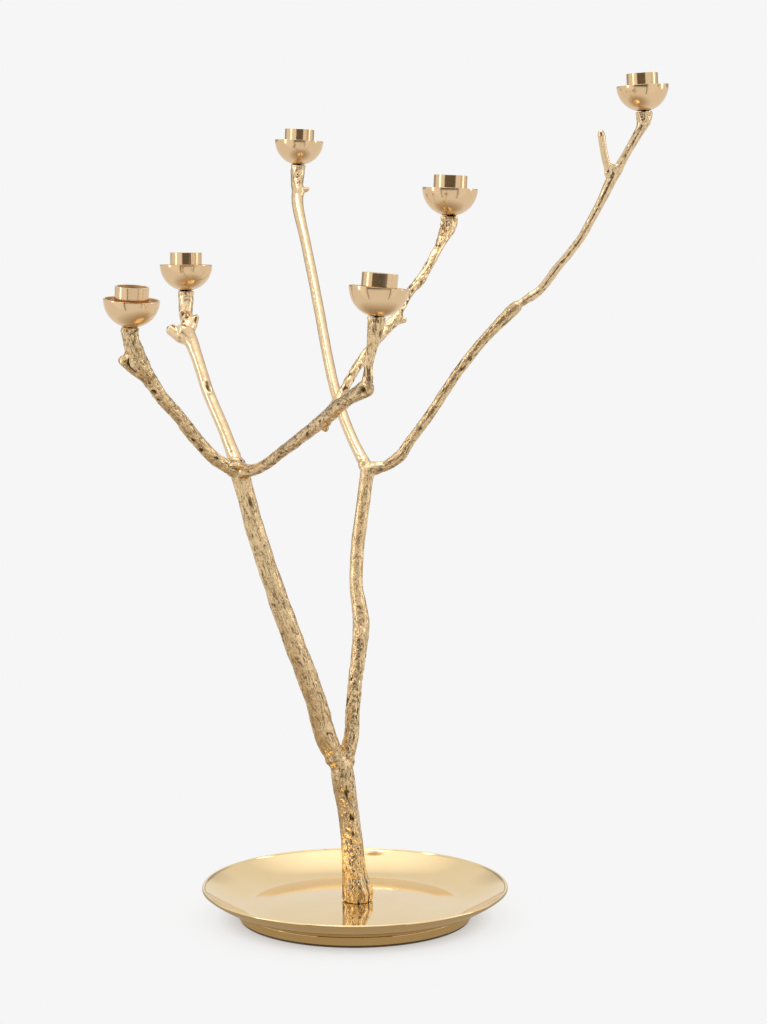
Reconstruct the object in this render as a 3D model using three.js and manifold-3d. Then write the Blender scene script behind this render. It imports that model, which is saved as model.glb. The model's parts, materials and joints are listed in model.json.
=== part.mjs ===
// Tabletop candelabra in cast and turned brass: a twig-shaped tree bolted to the
// middle of a shallow dish, with six screwed-on cups for ordinary dinner candles.
// Units are millimetres, +Z is up, and the origin is on the table under the trunk.

import * as THREE from 'three';
import { mergeVertices } from 'three/addons/utils/BufferGeometryUtils.js';
import Module from 'manifold-3d';

const wasm = await Module();
wasm.setup();

// ---------------------------------------------------------------- driving sizes

const GAP = 0.3; // clearance between neighbouring solids
const HOLE_SLACK = 1; // a blind hole runs this far past the end of its bolt or screw

const FELT_THICKNESS = 1.5;
const FELT_MARGIN = 1.2; // felt stops this far inside the foot ring's edge
const FOOT_DIAMETER = 187;
const FOOT_HEIGHT = 5.5;
const FOOT_WALL = 4;

const DISH_DIAMETER = 245;
const DISH_DEPTH = 16.7; // from the lowest part of the floor up to the rim
const DISH_CROWN = 3.7; // the floor is domed this much toward its middle
const DISH_FLOOR_DIAMETER = 168; // where the floor ends and the wall begins
const DISH_WALL = 2.6;
const DISH_LIP_RADIUS = 1.2;
const DISH_LIP_ARC = [140, -70]; // the rolled lip, from inside to outside, in degrees
const DISH_WALL_START = 0.35; // the wall's steepness at its foot, as a share of its mean

const BOLT_DIAMETER = 8;
const BOLT_LENGTH = 26; // under the head
const BOLT_HEAD_DIAMETER = 13;
const BOLT_HEAD_HEIGHT = 3.4;
const BOLT_CHAMFER = 1;
const WASHER_DIAMETER = 24;
const WASHER_THICKNESS = 1.6;

const TREE_RISE = 1; // stretches the drawn tree upward
const TREE_SPREAD = 1; // stretches the drawn tree sideways
const TWIG_GIRTH = 1; // thickens every twig
const TRUNK_FOOT_DIAMETER = 24;
const TIP_DIAMETER = 14; // the flat end that a cup sits on
const TIP_LENGTH = 9;
const TIP_NECK = 0.88; // thickness at the tip's start, as a share of its end
const TIP_COLLAR = 0.95; // the same halfway along
const BUD_FOOT = 0.35; // a bud's thickness where it leaves the twig, as a share of its widest
const BUD_TOP = 0.85; // the same at its end
const BUD_ROUNDING = 0.6; // how far its end bulges, as a share of its radius

const BOWL_DIAMETER = 42;
const BOWL_WALL = 1.3;
const BOWL_SEAT_DIAMETER = 9.5; // flat under the bowl
const CANDLE_BORE = 22.4; // for a 22 mm dinner candle
const SOCKET_WALL = 1.5;
const SOCKET_FLOOR = 3;
const SOCKET_PROJECTION = 9.6; // how far the socket stands above the bowl's rim

const SCREW_DIAMETER = 4;
const SCREW_HEAD_DIAMETER = 8;
const SCREW_HEAD_HEIGHT = 2.2;
const SCREW_GRIP = 10; // length of screw inside the twig tip
const SCREW_CHAMFER = 0.6;
const HEX_KEY = 2.5;
const HEX_DEPTH = 1.4;

const TWIG_SIDES = 8;
const RING_SPACING = 14;
const TURNED_SIDES = 20;
const SMALL_SIDES = 12; // screws and the holes for them
const DISH_SIDES = 48;
const DISH_WALL_RINGS = 5;
const BARK_TWIST = 1.7; // how the lumps of the bark turn from one ring to the next
const BARK_DRIFT = 0.9;
const WELD = 1e-4; // corners closer than this are the same corner

// Height of the dish's upper face over the lowest part of its floor.
const dishLipStart = DISH_DIAMETER / 2 - 2 * DISH_LIP_RADIUS;
function dishTop(radius) {
  const floorRadius = DISH_FLOOR_DIAMETER / 2;
  if (radius <= floorRadius) {
    return DISH_CROWN * (1 - (radius / floorRadius) ** 2);
  }
  const share = (radius - floorRadius) / (dishLipStart - floorRadius);
  const bend = DISH_WALL_START * share + (1 - DISH_WALL_START) * share ** 2;
  return (DISH_DEPTH - DISH_LIP_RADIUS) * bend;
}

// Heights of the stack: the dish rests on the foot ring, the trunk on the dish.
const footBottom = FELT_THICKNESS + GAP;
const footTop = footBottom + FOOT_HEIGHT;
const dishBase = footTop + GAP + DISH_WALL - dishTop(FOOT_DIAMETER / 2 - FOOT_WALL);
const dishMiddle = dishBase + dishTop(0);
const dishUnderside = dishMiddle - DISH_WALL;
const trunkBottom = dishMiddle + GAP;

// ---------------------------------------------------------------- materials

const brass = (color, roughness) => new THREE.MeshStandardMaterial({ color, roughness, metalness: 1 });
const polishedBrass = () => brass(0xe0bf84, 0.12);
const barkBrass = () => brass(0xc9a468, 0.34);
const smoothBrass = () => brass(0xe6c88e, 0.22);
const steel = () => new THREE.MeshStandardMaterial({ color: 0xa9abad, roughness: 0.35, metalness: 1 });
const felt = () => new THREE.MeshStandardMaterial({ color: 0x2b241d, roughness: 0.95, metalness: 0 });

// ---------------------------------------------------------------- solids

function solidOf(geometry) {
  const bare = geometry.clone();
  bare.deleteAttribute('normal');
  bare.deleteAttribute('uv');
  const merged = mergeVertices(bare, WELD);
  const vertProperties = new Float32Array(merged.attributes.position.array);
  const triVerts = new Uint32Array(merged.index.array);
  return new wasm.Manifold(new wasm.Mesh({ numProp: 3, vertProperties, triVerts }));
}

function geometryOf(solid) {
  const mesh = solid.getMesh();
  const geometry = new THREE.BufferGeometry();
  geometry.setAttribute('position', new THREE.BufferAttribute(mesh.vertProperties, 3));
  geometry.setIndex(new THREE.BufferAttribute(mesh.triVerts, 1));
  geometry.computeVertexNormals();
  return geometry;
}

// A turned piece: its profile is a list of [radius, height] pairs, drawn clockwise
// with the axis at the left.
function turned(profile, sides) {
  const points = profile.map(([radius, height]) => new THREE.Vector2(radius, height)).reverse();
  const geometry = new THREE.LatheGeometry(points, sides);
  geometry.rotateX(Math.PI / 2); // LatheGeometry turns about Y, the object stands along Z
  return geometry;
}

// Rings are closed by repeating the first corner of the profile.
const closed = (profile) => [...profile, profile[0]];

function arc(centreRadius, centreHeight, radius, startDegrees, endDegrees, steps) {
  const points = [];
  for (let i = 0; i <= steps; i += 1) {
    const angle = THREE.MathUtils.degToRad(startDegrees + ((endDegrees - startDegrees) * i) / steps);
    points.push([centreRadius + radius * Math.cos(angle), centreHeight + radius * Math.sin(angle)]);
  }
  return points;
}

const candelabra = new THREE.Group();

function add(name, geometry, material, parent = candelabra) {
  const mesh = new THREE.Mesh(geometry, material);
  mesh.name = name;
  parent.add(mesh);
  return mesh;
}

// ---------------------------------------------------------------- base

const boltHole = BOLT_DIAMETER / 2 + GAP;

function dishProfile() {
  const floorRadius = DISH_FLOOR_DIAMETER / 2;
  const radii = [boltHole, floorRadius / 3, (2 * floorRadius) / 3, floorRadius];
  for (let i = 1; i <= DISH_WALL_RINGS; i += 1) {
    radii.push(floorRadius + ((dishLipStart - floorRadius) * i) / DISH_WALL_RINGS);
  }
  const top = radii.map((radius) => [radius, dishBase + dishTop(radius)]);
  const below = radii.slice(0, -1).map((radius) => [radius, dishBase + dishTop(radius) - DISH_WALL]);
  const lipHeight = dishBase + DISH_DEPTH - DISH_LIP_RADIUS;
  const lip = arc(dishLipStart + DISH_LIP_RADIUS, lipHeight, DISH_LIP_RADIUS, ...DISH_LIP_ARC, 4);
  return closed([...top, ...lip, ...below.reverse()]);
}

function addBase() {
  const ringOuter = FOOT_DIAMETER / 2;
  const ringInner = ringOuter - FOOT_WALL;
  const feltRadius = ringOuter - FELT_MARGIN;
  const washerTop = dishUnderside - GAP;
  const washerBottom = washerTop - WASHER_THICKNESS;
  const headTop = washerBottom - GAP;
  const headBottom = headTop - BOLT_HEAD_HEIGHT;

  add('base_dish', turned(dishProfile(), DISH_SIDES), polishedBrass());

  const ring = [
    [ringInner, footBottom],
    [ringInner, footTop],
    [ringOuter, footTop],
    [ringOuter, footBottom],
  ];
  add('foot_ring', turned(closed(ring), DISH_SIDES), polishedBrass());

  const disc = [
    [0, FELT_THICKNESS],
    [feltRadius, FELT_THICKNESS],
    [feltRadius, 0],
    [0, 0],
  ];
  add('base_felt', turned(disc, DISH_SIDES), felt());

  const washer = [
    [boltHole, washerBottom],
    [boltHole, washerTop],
    [WASHER_DIAMETER / 2, washerTop],
    [WASHER_DIAMETER / 2, washerBottom],
  ];
  add('base_washer', turned(closed(washer), TURNED_SIDES), steel());

  const acrossCorners = BOLT_HEAD_DIAMETER / Math.cos(Math.PI / 6);
  const head = new THREE.CylinderGeometry(acrossCorners / 2, acrossCorners / 2, BOLT_HEAD_HEIGHT, 6);
  head.rotateX(Math.PI / 2);
  head.translate(0, 0, (headTop + headBottom) / 2);
  const shankTop = headTop + BOLT_LENGTH;
  const shankBottom = headBottom + BOLT_HEAD_HEIGHT / 2;
  const shank = [
    [0, shankTop],
    [BOLT_DIAMETER / 2 - BOLT_CHAMFER, shankTop],
    [BOLT_DIAMETER / 2, shankTop - BOLT_CHAMFER],
    [BOLT_DIAMETER / 2, shankBottom],
    [0, shankBottom],
  ];
  const bolt = solidOf(head).add(solidOf(turned(shank, TURNED_SIDES)));
  add('base_bolt', geometryOf(bolt), steel());

  return shankTop;
}

const boltTop = addBase();

// ---------------------------------------------------------------- the tree

// The routes below are drawn from this height, which lands on the dish.
const ROUTE_FOOT = 13.6;

const at = ([x, y, z]) => new THREE.Vector3(
  x * TREE_SPREAD,
  y * TREE_SPREAD,
  trunkBottom + (z - ROUTE_FOOT) * TREE_RISE,
);

// Knuckles where castings meet, and the seats of the six cups. A seat's lean is the
// slope of the cup's axis toward +X and +Y.
const FORK = [-11, 0, 122];
const LEFT_KNUCKLE = [-88, -40, 362];
const RIGHT_KNUCKLE = [10, 60, 354];
const FRONT_KNOT = [11, -228, 439];
const RIGHT_KNOT = [130, 58, 487];
const SPUR_FORK = [205, 69, 586];

const SEATS = [
  { seat: [-164, -114, 477], lean: [0.06, -0.09] },
  { seat: [-135, 46, 500], lean: [0.005, 0] },
  { seat: [-51, 228, 604], lean: [0.047, 0] },
  { seat: [72, -70, 559], lean: [0.042, 0] },
  { seat: [232, 75, 643], lean: [-0.056, 0] },
  { seat: [18, -236, 489], lean: [0.087, 0] },
];

const cupAxis = ({ lean }) => new THREE.Vector3(lean[0], lean[1], 1).normalize();

// A twig follows its route of [x, y, z, diameter] points. One that carries a cup ends
// in a straight tip square to the cup's axis. Buds are short stubs on its side.
const TWIGS = {
  trunk: {
    route: [
      [2, 0, ROUTE_FOOT, TRUNK_FOOT_DIAMETER],
      [1, 0, 24, TRUNK_FOOT_DIAMETER],
      [-1, 0, 42, 19],
      [-3, 0, 66, 17],
      [-6, 0, 90, 16.5],
      [-8.5, 0, 108, 18.5],
      [...FORK, 18],
    ],
    flatStart: true,
    bark: 0.05,
  },
  left_stem: {
    route: [
      [...FORK, 15.5],
      [-23, -4, 146, 17.5],
      [-31, -9, 178, 17],
      [-51, -19, 235, 16.5],
      [-62, -24, 268, 15.5],
      [-72, -29, 300, 15],
      [-79, -33, 324, 14.5],
      [...LEFT_KNUCKLE, 14],
    ],
    meets: ['trunk'],
    bark: 0.05,
  },
  right_stem: {
    route: [
      [-8, 2, 121, 13],
      [-3, 6, 145, 12],
      [-2, 9, 162, 11.5],
      [0, 16, 189, 11.5],
      [5, 28, 236, 13.5],
      [1, 34, 259, 11],
      [1, 41, 283, 11],
      [5, 50, 318, 11],
      [...RIGHT_KNUCKLE, 11],
    ],
    meets: ['trunk', 'left_stem'],
    bark: 0.04,
  },
  far_left_branch: {
    route: [
      [...LEFT_KNUCKLE, 11],
      [-105, -50, 372, 10],
      [-121, -63, 391, 10],
      [-133, -75, 409, 10],
      [-146, -87, 426, 10],
      [-155, -96, 442, 11.5],
      [-160, -103, 454, 14],
    ],
    cup: 0,
    buds: [[[-153, -94, 436], [-171, -108, 453], 11]],
    meets: ['left_stem'],
    bark: 0.06,
  },
  left_branch: {
    route: [
      [...LEFT_KNUCKLE, 11],
      [-102, -19, 395, 9.5],
      [-115, -1, 422, 9.5],
      [-124, 15, 447, 9.5],
      [-131, 27, 464, 11.5],
      [-135, 39, 480, 10.5],
    ],
    cup: 1,
    buds: [[[-128, 23, 457], [-147, 30, 470], 12], [[-131, 32, 464], [-126, 33, 480], 7.5]],
    meets: ['left_stem', 'far_left_branch'],
    bark: 0.03,
  },
  front_branch: {
    route: [
      [...LEFT_KNUCKLE, 11],
      [-73, -62, 367, 8.5],
      [-52, -102, 384, 8.5],
      [-34, -137, 400, 9],
      [-20, -166, 413, 10.5],
      [-9, -190, 424, 10],
      [-1, -207, 431, 9.5],
      [...FRONT_KNOT, 12],
    ],
    buds: [[[-20, -164, 412], [-19, -166, 405], 7]],
    meets: ['left_stem', 'far_left_branch', 'left_branch'],
    bark: 0.06,
  },
  front_twig: {
    route: [
      [...FRONT_KNOT, 7],
      [12, -230, 455, 6.5],
      [15, -233, 468, 7.5],
    ],
    cup: 5,
    meets: ['front_branch'],
    bark: 0.05,
  },
  crossing_twig: {
    route: [
      [-13, -182, 420, 7.5],
      [-2, -170, 441, 6.5],
      [9, -155, 458, 6.5],
      [19, -143, 470, 7],
      [29, -132, 481, 8],
      [36, -121, 493, 6.5],
      [42, -112, 503, 6.5],
      [51, -104, 512, 7.5],
      [57, -95, 523, 6.5],
      [65, -84, 537, 7],
    ],
    cup: 3,
    buds: [[[28, -132, 481], [39, -128, 483], 6]],
    meets: ['front_branch', 'front_twig'],
    bark: 0.05,
  },
  rear_branch: {
    route: [
      [...RIGHT_KNUCKLE, 9.5],
      [-5, 82, 383, 8.8],
      [-16, 103, 412, 8.8],
      [-23, 122, 440, 8.8],
      [-33, 155, 489, 8.8],
      [-44, 188, 539, 8.8],
      [-51, 209, 569, 10],
      [-52, 220, 586, 10.5],
    ],
    cup: 2,
    buds: [[[-51, 216, 580], [-42, 215, 583], 6]],
    meets: ['right_stem'],
    bark: 0.02,
  },
  right_branch: {
    route: [
      [...RIGHT_KNUCKLE, 10],
      [24, 60, 357, 8.5],
      [37, 60, 366, 9.5],
      [45, 60, 379, 8],
      [58, 59, 396, 8],
      [83, 59, 434, 8],
      [107, 58, 464, 8],
      [...RIGHT_KNOT, 10.5],
    ],
    meets: ['right_stem', 'rear_branch'],
    bark: 0.05,
  },
  right_twig: {
    route: [
      [...RIGHT_KNOT, 8],
      [149, 60, 500, 7],
      [162, 62, 517, 6.8],
      [178, 64, 536, 6.6],
      [189, 66, 554, 6.6],
      [198, 68, 571, 7],
      [...SPUR_FORK, 8.5],
      [212, 70, 598, 6.6],
      [221, 72, 614, 6.6],
      [230, 74, 629, 8],
    ],
    cup: 4,
    meets: ['right_branch'],
    bark: 0.05,
  },
  spur_twig: {
    route: [
      [...SPUR_FORK, 6],
      [202, 67, 600, 6],
      [199, 65, 613, 5.8],
      [197, 63, 625, 6.4],
    ],
    meets: ['right_twig'],
    bark: 0.04,
  },
};

// The twig's centre line with its diameters, closely and evenly spaced.
function centreLine(twig) {
  const stops = twig.route.map(([x, y, z, diameter]) => ({
    point: at([x, y, z]),
    radius: (diameter / 2) * TWIG_GIRTH,
  }));
  if (twig.cup !== undefined) {
    const cup = SEATS[twig.cup];
    const seat = at(cup.seat);
    const tipRadius = TIP_DIAMETER / 2;
    const axis = cupAxis(cup);
    seat.addScaledVector(axis, -GAP);
    const neck = seat.clone().addScaledVector(axis, -TIP_LENGTH);
    const collar = seat.clone().addScaledVector(axis, -TIP_LENGTH / 2);
    stops.push({ point: neck, radius: tipRadius * TIP_NECK });
    stops.push({ point: collar, radius: tipRadius * TIP_COLLAR });
    stops.push({ point: seat, radius: tipRadius });
  }
  const curve = new THREE.CatmullRomCurve3(stops.map((stop) => stop.point), false, 'centripetal');
  const spans = stops.length - 1;
  const stations = [];
  for (let span = 0; span < spans; span += 1) {
    const length = stops[span].point.distanceTo(stops[span + 1].point);
    const steps = Math.max(1, Math.round(length / RING_SPACING));
    for (let i = 0; i < steps; i += 1) {
      const share = i / steps;
      const ease = share * share * (3 - 2 * share);
      const t = (span + share) / spans;
      stations.push({
        point: curve.getPoint(t),
        tangent: curve.getTangent(t),
        radius: THREE.MathUtils.lerp(stops[span].radius, stops[span + 1].radius, ease),
      });
    }
  }
  const last = stops[spans];
  const tangent = twig.cup === undefined ? curve.getTangent(1) : cupAxis(SEATS[twig.cup]);
  stations.push({ point: last.point.clone(), tangent, radius: last.radius });
  return stations;
}

// Extra rings that round off an end, from the pole toward the first full ring.
function roundEnd(station, direction) {
  const rings = [];
  const reach = direction * station.radius;
  for (const degrees of [60, 30]) {
    const angle = THREE.MathUtils.degToRad(degrees);
    rings.push({
      point: station.point.clone().addScaledVector(station.tangent, reach * Math.sin(angle)),
      tangent: station.tangent,
      radius: station.radius * Math.cos(angle),
    });
  }
  const pole = station.point.clone().addScaledVector(station.tangent, reach);
  return { rings, pole };
}

// Skins the stations with rings of vertices. The bark share makes the section lumpy.
function skin(stations, startPole, endPole, bark) {
  const positions = [startPole.x, startPole.y, startPole.z];
  const faces = [];
  const side = new THREE.Vector3(0.36, 0.48, 0.8); // any direction that no twig starts along
  stations.forEach((station, ring) => {
    side.addScaledVector(station.tangent, -side.dot(station.tangent)).normalize();
    const across = new THREE.Vector3().crossVectors(station.tangent, side);
    for (let k = 0; k < TWIG_SIDES; k += 1) {
      const angle = (2 * Math.PI * k) / TWIG_SIDES;
      const turn = Math.sin(2 * angle + BARK_TWIST * ring) * Math.cos(angle - BARK_DRIFT * ring);
      const lump = 1 + bark * turn;
      const vertex = station.point.clone();
      vertex.addScaledVector(side, station.radius * lump * Math.cos(angle));
      vertex.addScaledVector(across, station.radius * lump * Math.sin(angle));
      positions.push(vertex.x, vertex.y, vertex.z);
    }
  });
  positions.push(endPole.x, endPole.y, endPole.z);
  const last = stations.length - 1;
  const end = 1 + stations.length * TWIG_SIDES;
  for (let k = 0; k < TWIG_SIDES; k += 1) {
    const next = (k + 1) % TWIG_SIDES;
    faces.push(0, 1 + next, 1 + k);
    for (let ring = 0; ring < last; ring += 1) {
      const low = 1 + ring * TWIG_SIDES;
      const high = low + TWIG_SIDES;
      faces.push(low + k, low + next, high + next);
      faces.push(low + k, high + next, high + k);
    }
    faces.push(1 + last * TWIG_SIDES + k, 1 + last * TWIG_SIDES + next, end);
  }
  const geometry = new THREE.BufferGeometry();
  geometry.setAttribute('position', new THREE.Float32BufferAttribute(positions, 3));
  geometry.setIndex(faces);
  return geometry;
}

function stubSolid([from, to, diameter], grow) {
  const start = at(from);
  const end = at(to);
  const tangent = end.clone().sub(start).normalize();
  const radius = (diameter / 2) * TWIG_GIRTH + grow;
  const stations = [
    { point: start, tangent, radius: radius * BUD_FOOT },
    { point: start.clone().lerp(end, 0.5), tangent, radius },
    { point: end, tangent, radius: radius * BUD_TOP },
  ];
  const cap = roundEnd({ point: end, tangent, radius: radius * BUD_ROUNDING }, 1);
  return solidOf(skin(stations, start.clone().addScaledVector(tangent, -grow), cap.pole, 0));
}

// One twig as a solid, made thicker all round by grow.
function twigSolid(name, grow = 0) {
  const twig = TWIGS[name];
  const stations = centreLine(twig).map((station) => ({ ...station, radius: station.radius + grow }));
  const first = stations[0];
  const last = stations[stations.length - 1];
  let startPole = first.point;
  if (twig.flatStart) {
    first.tangent = new THREE.Vector3(0, 0, 1);
  } else {
    const cap = roundEnd(first, -1);
    stations.unshift(...cap.rings);
    startPole = cap.pole;
  }
  let endPole = last.point;
  if (twig.cup === undefined) {
    const cap = roundEnd(last, 1);
    stations.push(...cap.rings.reverse());
    endPole = cap.pole;
  }
  let solid = solidOf(skin(stations, startPole, endPole, twig.bark));
  for (const bud of twig.buds ?? []) {
    solid = solid.add(stubSolid(bud, grow));
  }
  return solid;
}

// A blind hole for a screw or bolt, from point along axis.
function holeSolid(point, axis, radius, depth) {
  const geometry = new THREE.CylinderGeometry(radius, radius, depth, SMALL_SIDES);
  geometry.translate(0, depth / 2, 0);
  geometry.applyQuaternion(new THREE.Quaternion().setFromUnitVectors(new THREE.Vector3(0, 1, 0), axis));
  geometry.translate(point.x, point.y, point.z);
  return solidOf(geometry);
}

const screwHole = SCREW_DIAMETER / 2 + GAP;
const smoothTwigs = ['left_branch', 'rear_branch'];

for (const [name, twig] of Object.entries(TWIGS)) {
  let solid = twigSolid(name);
  for (const neighbour of twig.meets ?? []) {
    solid = solid.subtract(twigSolid(neighbour, GAP));
  }
  if (twig.cup !== undefined) {
    const cup = SEATS[twig.cup];
    const down = cupAxis(cup).negate();
    const above = at(cup.seat).addScaledVector(down, -HOLE_SLACK);
    solid = solid.subtract(holeSolid(above, down, screwHole, SCREW_GRIP + 2 * HOLE_SLACK));
  }
  if (name === 'trunk') {
    const below = new THREE.Vector3(0, 0, dishUnderside);
    const up = new THREE.Vector3(0, 0, 1);
    solid = solid.subtract(holeSolid(below, up, boltHole, boltTop + HOLE_SLACK - dishUnderside));
  }
  add(name, geometryOf(solid), smoothTwigs.includes(name) ? smoothBrass() : barkBrass());
}

// ---------------------------------------------------------------- cups

// Heights in a cup's own frame, where zero is the flat under the bowl.
const bowlRadius = BOWL_DIAMETER / 2;
const bowlInner = bowlRadius - BOWL_WALL;
const bowlRim = Math.sqrt(bowlRadius ** 2 - (BOWL_SEAT_DIAMETER / 2) ** 2);
const socketRadius = CANDLE_BORE / 2 + SOCKET_WALL;
const bowlFloorRadius = socketRadius + GAP;
const bowlFloor = bowlRim - Math.sqrt(bowlInner ** 2 - bowlFloorRadius ** 2);
const socketBottom = bowlFloor + GAP;
const socketFloor = socketBottom + SOCKET_FLOOR;
const socketTop = bowlRim + SOCKET_PROJECTION;
const headSeat = socketFloor - SCREW_HEAD_HEIGHT;

function bowlGeometry() {
  const outerStart = THREE.MathUtils.radToDeg(Math.asin(bowlRim / bowlRadius));
  const innerEnd = THREE.MathUtils.radToDeg(Math.asin((bowlRim - bowlFloor) / bowlInner));
  return turned(closed([
    [screwHole, 0],
    [screwHole, bowlFloor],
    ...arc(0, bowlRim, bowlInner, -innerEnd, 0, 3),
    ...arc(0, bowlRim, bowlRadius, 0, -outerStart, 6),
  ]), TURNED_SIDES);
}

function socketGeometry() {
  const bore = CANDLE_BORE / 2;
  const countersink = SCREW_HEAD_DIAMETER / 2 + GAP;
  return turned(closed([
    [screwHole, socketBottom],
    [screwHole, headSeat],
    [countersink, socketFloor],
    [bore, socketFloor],
    [bore, socketTop],
    [socketRadius, socketTop],
    [socketRadius, socketBottom],
  ]), TURNED_SIDES);
}

function screwGeometry() {
  const radius = SCREW_DIAMETER / 2;
  const headTop = socketFloor - GAP;
  const shape = turned([
    [0, headTop],
    [SCREW_HEAD_DIAMETER / 2 - GAP, headTop],
    [radius, headSeat],
    [radius, SCREW_CHAMFER - SCREW_GRIP],
    [radius - SCREW_CHAMFER, -SCREW_GRIP],
    [0, -SCREW_GRIP],
  ], SMALL_SIDES);
  const key = new THREE.CylinderGeometry(HEX_KEY / 2, HEX_KEY / 2, 2 * HEX_DEPTH, 6);
  key.rotateX(Math.PI / 2);
  key.translate(0, 0, headTop);
  return geometryOf(solidOf(shape).subtract(solidOf(key)));
}

SEATS.forEach((cup, index) => {
  const number = index + 1;
  const frame = new THREE.Group();
  frame.position.copy(at(cup.seat));
  frame.quaternion.setFromUnitVectors(new THREE.Vector3(0, 0, 1), cupAxis(cup));
  candelabra.add(frame);
  add(`drip_bowl_${number}`, bowlGeometry(), polishedBrass(), frame);
  add(`candle_socket_${number}`, socketGeometry(), polishedBrass(), frame);
  add(`cup_screw_${number}`, screwGeometry(), steel(), frame);
});

export default candelabra;
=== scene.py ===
"""Looks for the tabletop candelabra: a bark-textured brass tree, polished cups and dish."""

import json
import math

import bmesh
import bpy
import numpy as np
from mathutils import Matrix, Vector


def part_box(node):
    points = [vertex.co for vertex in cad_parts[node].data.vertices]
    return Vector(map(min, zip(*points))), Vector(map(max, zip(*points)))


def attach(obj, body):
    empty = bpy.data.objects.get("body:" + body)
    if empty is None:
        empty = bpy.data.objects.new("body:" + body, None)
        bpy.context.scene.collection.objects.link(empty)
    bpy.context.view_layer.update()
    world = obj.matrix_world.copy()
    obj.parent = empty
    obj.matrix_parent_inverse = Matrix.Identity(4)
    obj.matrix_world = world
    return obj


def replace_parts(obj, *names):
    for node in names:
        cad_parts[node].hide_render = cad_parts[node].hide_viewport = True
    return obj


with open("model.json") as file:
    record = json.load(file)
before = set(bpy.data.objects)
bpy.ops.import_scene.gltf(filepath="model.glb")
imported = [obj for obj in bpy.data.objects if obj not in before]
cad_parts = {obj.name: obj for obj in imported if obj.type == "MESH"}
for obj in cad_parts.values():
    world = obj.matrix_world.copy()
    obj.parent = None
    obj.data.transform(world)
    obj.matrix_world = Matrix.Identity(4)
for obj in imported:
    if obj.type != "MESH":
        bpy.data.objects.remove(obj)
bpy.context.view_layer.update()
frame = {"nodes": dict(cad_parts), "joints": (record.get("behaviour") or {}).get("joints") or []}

MM = 0.001

# ------------------------------------------------------------------ sizes, in metres

# Camera: eye point, downward pitch and lens that a fit to the dish gives.
EYE = Vector((0.0228, -2.0074, 0.5512))
PITCH = math.radians(6.39)
LENS_MM = 90.0

BACKDROP = 0.9216  # how bright the plain backdrop shines

GAP = 0.3 * MM  # between neighbouring CAD pieces

# Bark skin
VOXEL = 0.50 * MM
SLICE_STEP = 3 * MM
LOFT_SIDES = 40
SECTION_FILL = 0.949  # an eight-sided section's mean radius over its corner radius
SOLID_INSET = 0.45 * MM
TIP_CLEARANCE = 0.22 * MM
TIP_RADIUS = 6.3 * MM  # the least that a casting has under its cup
TIP_ZONE = 12 * MM  # this near a cup's axis the bark fades out and the tip is cut flat
TIP_CUT = 3 * MM  # only points below this height over the seat are cut
SEAM_SOFTNESS = 2.2 * MM
FILLET = 2.6 * MM
SKIN_ROUNDS = 14  # smoothing of the whole skin
JOINT_ROUNDS = 60  # smoothing of the joints
FORK_NEAR, FORK_FAR = 11 * MM, 18 * MM  # the fork's smoothing fades out between these

# Turned parts: what the frame's boxes don't give.
DISH_FLOOR_RADIUS = 84 * MM
DISH_CROWN = 3.7 * MM
DISH_WALL = 2.6 * MM
DISH_WALL_START = 0.35
DISH_FLOOR_STEPS = 24
DISH_WALL_STEPS = 40
LIP_RADIUS = 1.2 * MM
LIP_START, LIP_SWEEP, LIP_STEPS = 142, 212, 16  # the rolled lip's arc, in degrees
BOLT_HOLE_RADIUS = 4.3 * MM
FOOT_WALL = 4 * MM
BOWL_WALL = 1.3 * MM
BOWL_HOLE_RADIUS = 2.4 * MM
BOWL_STEPS = 40
RIM_SETBACK = 0.12 * MM
CANDLE_BORE_RADIUS = 11.2 * MM
SOCKET_FLOOR = 3 * MM
SOCKET_HOLE_RADIUS = 2.3 * MM
COUNTERSINK_RADIUS = 4.3 * MM
COUNTERSINK_DEPTH = 2.2 * MM
SCREW_HEAD_RADIUS = 3.7 * MM
SCREW_HEAD_HEIGHT = 1.9 * MM
SCREW_SIDES = 48
SHANK_RADIUS = 2 * MM
THREAD_PITCH = 0.7 * MM
THREAD_DEPTH = 0.3 * MM
HEX_RADIUS = 1.45 * MM
HEX_DEPTH = 1.2 * MM
CUP_SIDES = 128
DISH_SIDES = 256
CORNER_STEPS = 5

SMOOTH_TWIGS = {"left_branch", "rear_branch", "right_twig", "spur_twig"}
TREE = [
    "trunk",
    "left_stem",
    "right_stem",
    "far_left_branch",
    "left_branch",
    "front_branch",
    "front_twig",
    "crossing_twig",
    "rear_branch",
    "right_branch",
    "right_twig",
    "spur_twig",
]

# Bark of each casting: lumps, long grooves and fine crinkle, as amplitudes in millimetres.
BARK_RELIEF = {
    "trunk": (0.40, 0.34, 0.17),
    "left_stem": (0.50, 0.46, 0.05),
    "right_stem": (0.35, 0.26, 0.20),
    "far_left_branch": (0.60, 0.66, 0.24),
    "left_branch": (0.16, 0.05, 0.01),
    "front_branch": (0.45, 0.50, 0.17),
    "front_twig": (0.25, 0.42, 0.14),
    "crossing_twig": (0.45, 0.60, 0.26),
    "rear_branch": (0.16, 0.06, 0.01),
    "right_branch": (0.40, 0.34, 0.16),
    "right_twig": (0.38, 0.26, 0.10),
    "spur_twig": (0.20, 0.12, 0.04),
}

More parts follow.
